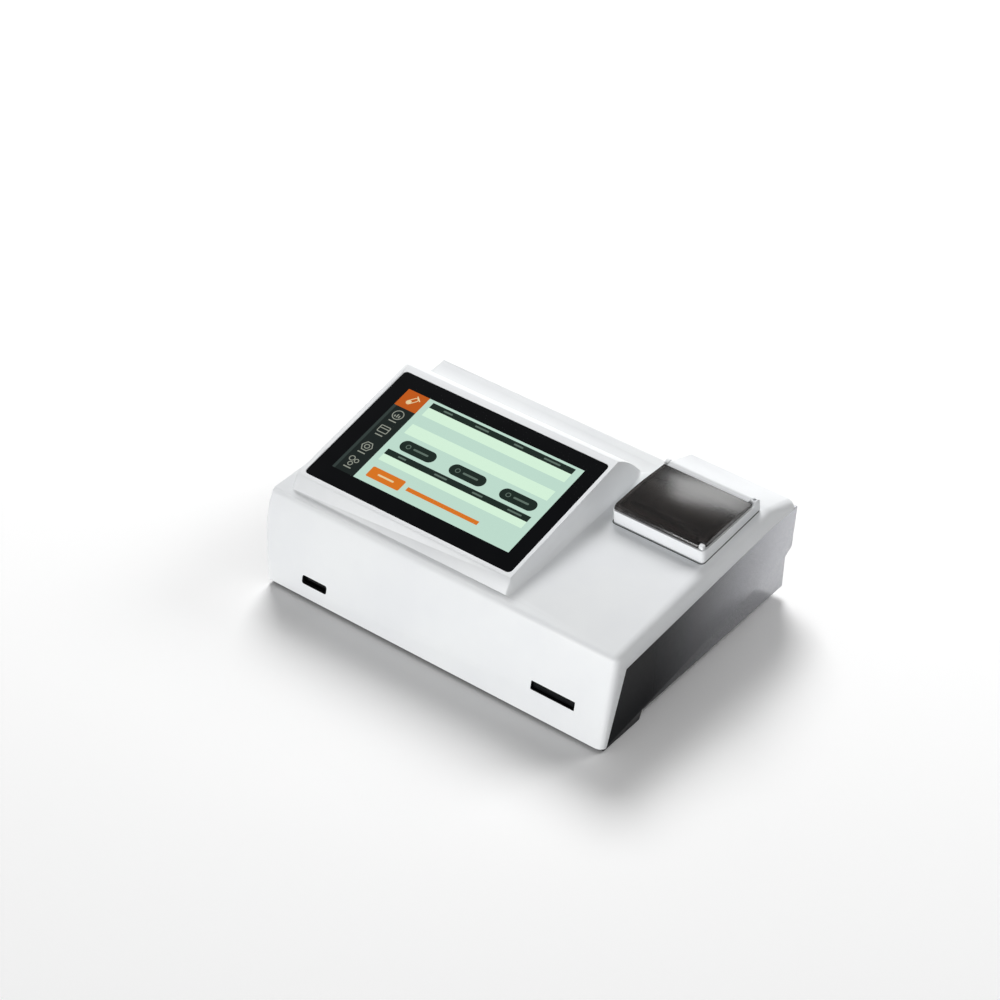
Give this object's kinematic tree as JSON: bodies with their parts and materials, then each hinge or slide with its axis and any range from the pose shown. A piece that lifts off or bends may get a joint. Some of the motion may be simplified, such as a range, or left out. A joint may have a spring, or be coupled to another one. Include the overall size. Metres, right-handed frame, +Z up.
{
  "type": "rapid test reader",
  "caption": "Bench-top test reader: white wedge cover on a dark case, tilted touch display, receipt printer under a smoked lid, motor-driven card tray.",
  "frame": {"origin": "on the table, under the middle of the body", "axes": "+X to the right seen from the front, +Y to the rear, +Z up"},
  "size_m": [0.298, 0.224, 0.109],
  "materials": {
    "white_shell": "satin moulded plastic",
    "gear_plastic": "matt acetal",
    "dark_case": "satin moulded plastic",
    "smoked_lid": "smoked, glossy",
    "cover_glass": "black printed glass",
    "filter_glass": "polished",
    "clear_glass": "polished",
    "paper": "thermal paper",
    "card_tube": "card tube",
    "ribbon_film": "polyimide film",
    "rubber": "matt",
    "circuit_board": "solder mask",
    "black_plastic": "matt",
    "black_metal": "black anodised",
    "bright_metal": "plated steel"
  },
  "bodies": {
    "reader": {"printer_frame": "white_shell", "lid_hinge_pin": "bright_metal", "idler_pin": "bright_metal", "print_motor": "bright_metal", "print_head": "bright_metal", "tear_bar": "bright_metal", "printer_board": "circuit_board", "display_glass": "cover_glass", "display_module": "bright_metal", "display_bracket": "bright_metal", "display_board": "circuit_board", "top_cover": "white_shell", "lower_case": "dark_case", "case_screw_1": "bright_metal", "case_screw_2": "bright_metal", "case_screw_3": "bright_metal", "case_screw_4": "bright_metal", "front_pad_left": "rubber", "rear_foot_left": "rubber", "front_pad_right": "rubber", "rear_foot_right": "rubber", "display_ribbon": "ribbon_film", "mainboard": "circuit_board", "power_supply": "circuit_board", "rear_panel": "dark_case", "power_inlet": "black_plastic", "rocker_switch_body": "black_plastic", "ethernet_socket": "bright_metal", "usb_socket": "bright_metal", "serial_socket": "bright_metal", "chip_socket": "black_plastic", "chip_board": "circuit_board", "tray_guide": "black_plastic", "tray_motor": "bright_metal", "tray_sensor": "black_plastic", "optic_block": "black_metal", "optic_lens": "clear_glass", "dichroic_mirror": "clear_glass", "optic_filter": "filter_glass", "lamp_board": "circuit_board", "detector_board": "circuit_board"},
    "lid": {"printer_lid": "smoked_lid", "lid_hinge_bar": "white_shell"},
    "catch": {"lid_catch": "white_shell"},
    "paper": {"paper_roll": "paper", "paper_core": "card_tube"},
    "platen": {"platen_shaft": "bright_metal", "platen_rubber": "rubber", "platen_gear": "gear_plastic"},
    "idler": {"idler_gear": "gear_plastic"},
    "motor_pinion": {"motor_gear": "bright_metal"},
    "tray": {"card_tray": "black_plastic"},
    "tray_drive": {"tray_pinion": "bright_metal"},
    "switch_rocker": {"power_rocker": "black_plastic"}
  },
  "joints": [
    {"name": "lid_hinge", "type": "hinge", "parent": "reader", "child": "lid", "pos_m": [0.10405, 0.07039, 0.09332], "axis": [-1, 0, 0], "range_deg": [0, 80]},
    {"name": "catch_press", "type": "slide", "parent": "reader", "child": "catch", "axis": [0, 0.0802, -0.9968], "range_m": [0, 0.0015], "stiffness_N_per_m": 300, "springref_m": -0.0005},
    {"name": "paper_turn", "type": "hinge", "parent": "reader", "child": "paper", "pos_m": [0.0999, 0.04813, 0.07438], "axis": [1, 0, 0], "continuous": true},
    {"name": "platen_turn", "type": "hinge", "parent": "reader", "child": "platen", "pos_m": [0.0999, 0.01777, 0.08648], "axis": [1, 0, 0], "continuous": true},
    {"name": "idler_turn", "type": "hinge", "parent": "reader", "child": "idler", "pos_m": [0.1321, 0.02413, 0.07726], "axis": [1, 0, 0], "continuous": true},
    {"name": "motor_turn", "type": "hinge", "parent": "reader", "child": "motor_pinion", "pos_m": [0.1224, 0.02119, 0.06791], "axis": [1, 0, 0], "continuous": true},
    {"name": "tray_slide", "type": "slide", "parent": "reader", "child": "tray", "axis": [0, -1, 0], "range_m": [0, 0.072]},
    {"name": "tray_drive_turn", "type": "hinge", "parent": "reader", "child": "tray_drive", "pos_m": [0.12658, -0.082, 0.025], "axis": [0, 0, 1], "range_deg": [0, 690]},
    {"name": "rocker_tilt", "type": "hinge", "parent": "reader", "child": "switch_rocker", "pos_m": [-0.0789, 0.0767, 0.034], "axis": [1, 0, 0], "range_deg": [0, 18]}
  ],
  "couplings": [
    {"joint": "idler_turn", "follows": "platen_turn", "ratio": -0.77778},
    {"joint": "motor_turn", "follows": "platen_turn", "ratio": 1.4},
    {"joint": "tray_drive_turn", "follows": "tray_slide", "rad_per_m": 166.67}
  ]
}
